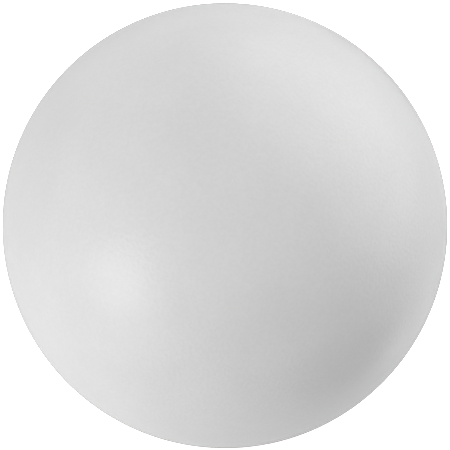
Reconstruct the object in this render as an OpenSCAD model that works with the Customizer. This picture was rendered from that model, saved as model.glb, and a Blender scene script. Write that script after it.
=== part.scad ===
// Cue ball for a table with a magnetic ball return.
// A cast resin core is wrapped in two pressed steel cups, and a white resin shell is cast
// round them and ground to a true sphere. Every piece is concentric with the origin, which
// is the centre of the ball. The cups meet on the XY plane. Sizes are in millimetres.

/* [Ball] */
// Outside diameter of the finished ball
ball_d = 57.15; // [47.6:0.05:61.5]

/* [Steel layer] */
// Thickness of the sheet that the cups are pressed from
sheet_t = 0.4; // [0.2:0.1:1.0]

/* [Smoothness] */
// Facets round the ball's equator in the preview
facets = 144; // [48:16:256]

/* [Hidden] */
$fn = facets;
ball_r = ball_d / 2;

// A thin layer of radius r has the inertia 2/3 m r^2, and a solid ball of radius R has
// 2/5 m R^2. They are equal at r^2 = 3/5 R^2, so a layer there leaves the ball rolling
// like a ball of one material.
layer_r = ball_r * sqrt(3 / 5);
core_r = layer_r - sheet_t / 2;
cavity_r = layer_r + sheet_t / 2;

// A ball with a concentric round hollow
module hollow_ball(outer_r, inner_r) {
  difference() {
    sphere(r = outer_r);
    sphere(r = inner_r);
  }
}

// Everything within the cups' reach on one side of the XY plane: side is 1 above it, -1 below
module half_space(side) {
  translate([-ball_r, -ball_r, side > 0 ? 0 : -ball_r])
    cube([ball_d, ball_d, ball_r]);
}

// Half of the steel layer
module steel_cup(side) {
  color("silver")
    intersection() {
      hollow_ball(cavity_r, core_r);
      half_space(side);
    }
}

// The white ball that is seen and struck, closed round the steel layer
module outer_shell() {
  color("gainsboro")
    hollow_ball(ball_r, cavity_r);
}

module upper_steel_cup() {
  steel_cup(1);
}

module lower_steel_cup() {
  steel_cup(-1);
}

// Solid centre that fills the cups
module resin_core() {
  color("wheat")
    sphere(r = core_r);
}

outer_shell();
upper_steel_cup();
lower_steel_cup();
resin_core();
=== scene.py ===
"""Looks of the magnetic cue ball: its skin, its hidden layers, a white tent and a camera.

The ball is centred on the origin, +Z is up and every length is in metres. Directions are
given as an azimuth and an elevation: azimuth 0 is the side that the camera stands on, -Y,
and 90 is its right-hand side, +X.
"""
import math

import bmesh
import bpy
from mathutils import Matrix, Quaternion, Vector


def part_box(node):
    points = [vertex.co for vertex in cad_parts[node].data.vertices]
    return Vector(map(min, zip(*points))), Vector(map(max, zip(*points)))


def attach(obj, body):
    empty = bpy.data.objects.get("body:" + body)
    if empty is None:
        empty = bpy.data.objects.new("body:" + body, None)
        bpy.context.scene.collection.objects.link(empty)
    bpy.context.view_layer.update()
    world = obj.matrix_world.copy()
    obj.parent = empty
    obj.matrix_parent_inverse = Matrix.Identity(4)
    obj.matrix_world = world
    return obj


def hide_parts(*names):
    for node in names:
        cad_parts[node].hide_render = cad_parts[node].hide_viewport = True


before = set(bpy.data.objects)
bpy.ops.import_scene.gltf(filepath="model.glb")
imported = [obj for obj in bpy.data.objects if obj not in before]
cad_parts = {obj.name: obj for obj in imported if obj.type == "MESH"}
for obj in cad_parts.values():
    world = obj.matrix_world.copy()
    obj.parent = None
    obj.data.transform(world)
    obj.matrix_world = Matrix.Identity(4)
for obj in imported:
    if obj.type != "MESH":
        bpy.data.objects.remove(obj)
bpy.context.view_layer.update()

MM = 0.001
BALL_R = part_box("outer_shell")[1].z
CAVITY_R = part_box("upper_steel_cup")[1].z

# Quads along each edge of the cube that a round wall is blown up from
SKIN_CUTS = 96
CAVITY_CUTS = 48

# Camera: a long lens, tipped down on the ball, which fills all but a hair of the frame
LENS_MM = 200
SENSOR_MM = 36
CAMERA_ELEVATION = 20
BALL_SPAN = 0.9885
AIM_HEIGHT = 0.07 * MM

# Light: the tent's wall, where the lamps stand, and how brightly it glows. The glow is
# stronger towards the table that lights the ball from below and behind
TENT_RADIUS = 0.5
TENT_GLOW = 0.46
TABLE_GLOW = 0.37
TABLE_SIDE = (-165, -52)

# Round dark openings in the tent: the azimuth and elevation of the middle of each, and the
# angle from there to its edge, which fades over a few degrees to either side
OPENINGS = ((60, -20, 21), (88, -48, 21), (164, -2, 8))
OPENING_FADE = 3

# What the camera sees round the ball: a pale floor and backdrop, and a burnt-out patch of
# them behind the ball, which fills the main view and ends outside it
BACKDROP = 0.8
BURNT_OUT = 2.0
PATCH_ANGLE = 8
PATCH_FADE = 4
FLOOR_RADIUS = 3.0


def towards(azimuth, elevation):
    """Unit vector from the ball's centre towards an azimuth and an elevation in degrees."""
    a, e = math.radians(azimuth), math.radians(elevation)
    return Vector((math.sin(a) * math.cos(e), -math.cos(a) * math.cos(e), math.sin(e)))


# ---------------------------------------------------------------- nodes

def new_material(name):
    """A new material, with its node tree and its Principled shader."""
    material = bpy.data.materials.new(name)
    material.use_nodes = True
    return material, material.node_tree, material.node_tree.nodes["Principled BSDF"]


def add_node(tree, kind, **values):
    """Adds a shader node. Words set its properties, and inputs are set by their names."""
    node = tree.nodes.new("ShaderNode" + kind)
    for name, value in values.items():
        label = name.replace("_", " ").title()
        if label in node.inputs:
            node.inputs[label].default_value = value
        else:
            setattr(node, name, value)
    return node


def surface_point(tree, stretch=1.0):
    """Place on the object in metres, with Z shrunk so that patterns are drawn out along it."""
    coords = add_node(tree, "TexCoord")
    scaled = add_node(tree, "VectorMath", operation="MULTIPLY")
    scaled.inputs[1].default_value = (1, 1, 1 / stretch)
    tree.links.new(coords.outputs["Object"], scaled.inputs[0])
    return scaled.outputs["Vector"]


def noise(tree, size, detail=2.0, stretch=1.0):
    """Smooth random field on the surface, with features about size metres across."""
    node = add_node(tree, "TexNoise", scale=1 / size, detail=detail)
    tree.links.new(surface_point(tree, stretch), node.inputs["Vector"])
    return node.outputs["Fac"]


def remap(tree, value, low, high, start=0.3, end=0.7, curve="SMOOTHSTEP"):
    """Runs from low to high as the value goes from start to end, and stays there outside."""
    node = add_node(tree, "MapRange", interpolation_type=curve)
    node.inputs["From Min"].default_value = start
    node.inputs["From Max"].default_value = end
    node.inputs["To Min"].default_value = low
    node.inputs["To Max"].default_value = high
    tree.links.new(value, node.inputs["Value"])
    return node.outputs["Result"]


def times(tree, a, b):
    """Product of two values."""
    node = add_node(tree, "Math", operation="MULTIPLY")
    tree.links.new(a, node.inputs[0])
    tree.links.new(b, node.inputs[1])
    return node.outputs["Value"]


def grey(tree, value):
    """A neutral colour whose brightness is value."""
    node = add_node(tree, "CombineColor")
    for channel in ("Red", "Green", "Blue"):
        tree.links.new(value, node.inputs[channel])
    return node.outputs["Color"]


def blend_colours(tree, value, low, high):
    """Goes from the colour low to the colour high as the value goes from 0 to 1."""
    ramp = add_node(tree, "ValToRGB")
    ramp.color_ramp.elements[0].color = low
    ramp.color_ramp.elements[1].color = high
    tree.links.new(value, ramp.inputs["Fac"])
    return ramp.outputs["Color"]


def emboss(tree, shader, height, depth):
    """Raises the surface by depth metres where height is 1, as a bump in its shading."""
    bump = add_node(tree, "Bump", strength=1.0, distance=depth)
    tree.links.new(height, bump.inputs["Height"])
    tree.links.new(bump.outputs["Normal"], shader.inputs["Normal"])


# ---------------------------------------------------------------- materials

def white_resin():
    """Satin white resin: a fine pebbled grain with painted shade in its pits, and faint clouds.
    """
    material, tree, shader = new_material("white_resin")
    shader.inputs["IOR"].default_value = 1.6
    grain = noise(tree, size=0.42 * MM, detail=1)
    # Painted shade: the base colour is made up to 2.5% darker where the grain's bump is low, in
    # its pits
    pit_shade = remap(tree, grain, low=0.975, high=1.0)
    clouds = remap(tree, noise(tree, size=9 * MM, detail=4), low=0.785, high=0.81)
    tree.links.new(grey(tree, times(tree, clouds, pit_shade)), shader.inputs["Base Color"])
    polish = remap(tree, noise(tree, size=4 * MM, detail=3), low=0.35, high=0.395)
    tree.links.new(polish, shader.inputs["Roughness"])
    emboss(tree, shader, grain, depth=0.035 * MM)
    return material


def pressed_steel():
    """Thin bright steel sheet: a rolled tone, draw streaks towards the pole and orange peel."""
    material, tree, shader = new_material("pressed_steel")
    shader.inputs["Metallic"].default_value = 1.0
    tone = remap(tree, noise(tree, size=6 * MM, detail=4), low=0.52, high=0.6)
    streaks = remap(tree, noise(tree, size=0.5 * MM, detail=3, stretch=12), low=0.9, high=1.0)
    tree.links.new(grey(tree, times(tree, tone, streaks)), shader.inputs["Base Color"])
    wear = remap(tree, noise(tree, size=1.5 * MM, detail=5), low=0.28, high=0.45)
    tree.links.new(wear, shader.inputs["Roughness"])
    orange_peel = noise(tree, size=0.8 * MM)
    emboss(tree, shader, orange_peel, depth=0.02 * MM)
    return material


def core_resin():
    """Unpolished filled resin: buff and mottled, with the open pores of small air bubbles, sunk
    in the bump and with painted shade in them.
    """
    material, tree, shader = new_material("core_resin")
    bubble_spacing = 1.6 * MM
    bubbles = add_node(tree, "TexVoronoi", scale=1 / bubble_spacing)
    tree.links.new(surface_point(tree), bubbles.inputs["Vector"])
    pore_relief_and_shade = remap(tree, bubbles.outputs["Distance"], low=0.6, high=1.0, start=0.08, end=0.2)
    # Painted shade: the mottle is multiplied by the pore mask, so the pores are painted darker;
    # the same mask sinks them in the bump
    mottle = times(tree, noise(tree, size=3 * MM, detail=5), pore_relief_and_shade)
    buff = blend_colours(tree, mottle, low=(0.56, 0.52, 0.43, 1), high=(0.68, 0.64, 0.55, 1))
    tree.links.new(buff, shader.inputs["Base Color"])
    dry = remap(tree, noise(tree, size=2 * MM, detail=3), low=0.6, high=0.75)
    tree.links.new(dry, shader.inputs["Roughness"])
    emboss(tree, shader, pore_relief_and_shade, depth=0.3 * MM)
    return material


# ---------------------------------------------------------------- pieces

def to_mesh(bm, name):
    """Makes a mesh of a bmesh and frees it."""
    mesh = bpy.data.meshes.new(name)
    bm.to_mesh(mesh)
    bm.free()
    return mesh


def add_object(name, data):
    """Puts a new object in the scene, at the origin."""
    ob = bpy.data.objects.new(name, data)
    bpy.context.scene.collection.objects.link(ob)
    return ob


def round_wall(radius, cuts, faces_in=False):
    """Mesh of a sphere of even quads: a cube's grid, spread evenly by angle."""
    bm = bmesh.new()
    bmesh.ops.create_cube(bm, size=2)
    bmesh.ops.subdivide_edges(bm, edges=bm.edges[:], cuts=cuts - 1, use_grid_fill=True)
    for v in bm.verts:
        spread = Vector([math.tan(math.pi / 4 * c) for c in v.co])
        v.co = spread.normalized() * radius
    for f in bm.faces:
        f.smooth = True
    if faces_in:
        bmesh.ops.reverse_faces(bm, faces=bm.faces[:])
    return to_mesh(bm, "round_wall")


def make_shell(material):
    """The white shell: the outside that is seen, and the round hollow that holds the cups."""
    bm = bmesh.new()
    bm.from_mesh(round_wall(BALL_R, SKIN_CUTS))
    bm.from_mesh(round_wall(CAVITY_R, CAVITY_CUTS, faces_in=True))
    shell = add_object("ball_shell", to_mesh(bm, "ball_shell"))
    shell.data.materials.append(material)
    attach(shell, "root")
    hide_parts("outer_shell")


def dress(node, material):
    """Gives a CAD node its finished material."""
    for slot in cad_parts[node].material_slots:
        slot.material = material


# ---------------------------------------------------------------- studio

def add_lamp(name, azimuth, elevation, radiance, width, height=None, roll=0):
    """A soft lamp on the tent's wall, with a face as bright as radiance: round if it has only
    a width, and otherwise a rectangle. It faces the ball, and roll turns it in its own plane."""
    data = bpy.data.lights.new(name, "AREA")
    data.shape = "RECTANGLE" if height else "DISK"
    data.size = width
    data.size_y = height or width
    area = width * height if height else math.pi * width ** 2 / 4
    data.energy = radiance * math.pi * area
    lamp = add_object(name, data)
    lamp.location = towards(azimuth, elevation) * TENT_RADIUS
    facing = (-lamp.location).to_track_quat("-Z", "Y")
    lamp.rotation_mode = "QUATERNION"
    lamp.rotation_quaternion = facing @ Quaternion((0, 0, 1), math.radians(roll))
    lamp.visible_camera = False


def along(tree, direction):
    """How nearly a ray into the world runs along a direction: the cosine between them."""
    ray = add_node(tree, "TexCoord")
    node = add_node(tree, "VectorMath", operation="DOT_PRODUCT")
    node.inputs[1].default_value = direction
    tree.links.new(ray.outputs["Generated"], node.inputs[0])
    return node.outputs["Value"]


def wall_round(tree, azimuth, elevation, angle):
    """1 on the tent's wall round a dark opening, and 0 in the opening."""
    outside = math.cos(math.radians(angle + OPENING_FADE))
    inside = math.cos(math.radians(angle - OPENING_FADE))
    return remap(tree, along(tree, towards(azimuth, elevation)), 1, 0, outside, inside)


def light_tent():
    """World: the ball is lit by the tent's glow, which is stronger on the side of the white
    table. The camera sees the pale backdrop and its burnt-out patch instead."""
    world = bpy.data.worlds.new("tent")
    world.use_nodes = True
    bpy.context.scene.world = world
    tree = world.node_tree

    table = along(tree, towards(*TABLE_SIDE))
    strongest = TENT_GLOW + TABLE_GLOW
    level = remap(tree, table, TENT_GLOW, strongest, start=0, end=1, curve="LINEAR")
    for azimuth, elevation, angle in OPENINGS:
        level = times(tree, level, wall_round(tree, azimuth, elevation, angle))
    glow = tree.nodes["Background"]
    glow.inputs["Color"].default_value = (1, 1, 1, 1)
    tree.links.new(level, glow.inputs["Strength"])

    behind = along(tree, -towards(0, CAMERA_ELEVATION))
    patch_end = math.cos(math.radians(PATCH_ANGLE + PATCH_FADE))
    patch_start = math.cos(math.radians(PATCH_ANGLE))
    seen = add_node(tree, "Background", color=(1, 1, 1, 1))
    patch = remap(tree, behind, BACKDROP, BURNT_OUT, patch_end, patch_start)
    tree.links.new(patch, seen.inputs["Strength"])

    rays = add_node(tree, "LightPath")
    mix = add_node(tree, "MixShader")
    tree.links.new(rays.outputs["Is Camera Ray"], mix.inputs["Fac"])
    tree.links.new(glow.outputs["Background"], mix.inputs[1])
    tree.links.new(seen.outputs["Background"], mix.inputs[2])
    tree.links.new(mix.outputs["Shader"], tree.nodes["World Output"].inputs["Surface"])


def lay_floor():
    """The floor that the ball stands on: it takes the ball's shadow and is otherwise as pale
    as the backdrop. It doesn't light the ball, because the tent's glow does."""
    bm = bmesh.new()
    bmesh.ops.create_circle(bm, cap_ends=True, radius=FLOOR_RADIUS, segments=96)
    material, _, shader = new_material("floor")
    shader.inputs["Roughness"].default_value = 0.9
    floor = add_object("floor", to_mesh(bm, "floor"))
    floor.data.materials.append(material)
    floor.location.z = -BALL_R
    floor.is_shadow_catcher = True
    floor.visible_diffuse = False
    floor.visible_glossy = False
    floor.visible_shadow = False


def set_camera():
    """A camera whose frame the ball's outline fills to BALL_SPAN of its width."""
    data = bpy.data.cameras.new("camera")
    data.lens = LENS_MM
    data.sensor_width = SENSOR_MM
    camera = add_object("camera", data)
    half_outline = math.atan(BALL_SPAN * SENSOR_MM / 2 / LENS_MM)
    camera.location = towards(0, CAMERA_ELEVATION) * BALL_R / math.sin(half_outline)
    aim = Vector((0, 0, AIM_HEIGHT))
    camera.rotation_mode = "QUATERNION"
    camera.rotation_quaternion = (aim - camera.location).to_track_quat("-Z", "Y")
    bpy.context.scene.camera = camera


set_camera()
bpy.context.scene.view_settings.view_transform = "Standard"

make_shell(white_resin())
steel = pressed_steel()
dress("upper_steel_cup", steel)
dress("lower_steel_cup", steel)
dress("resin_core", core_resin())

lay_floor()
light_tent()
add_lamp("left_hot_spot", -50, -10, radiance=3.0, width=0.29)
add_lamp("left_diffuser", -50, 0, radiance=0.32, width=1.25)
add_lamp("right_softbox", 97, 39, radiance=1.1, width=1.15, height=0.65, roll=70)
add_lamp("top_softbox", -155, 47, radiance=0.3, width=0.6)
add_lamp("rim_light", 130, -33, radiance=0.4, width=0.25)
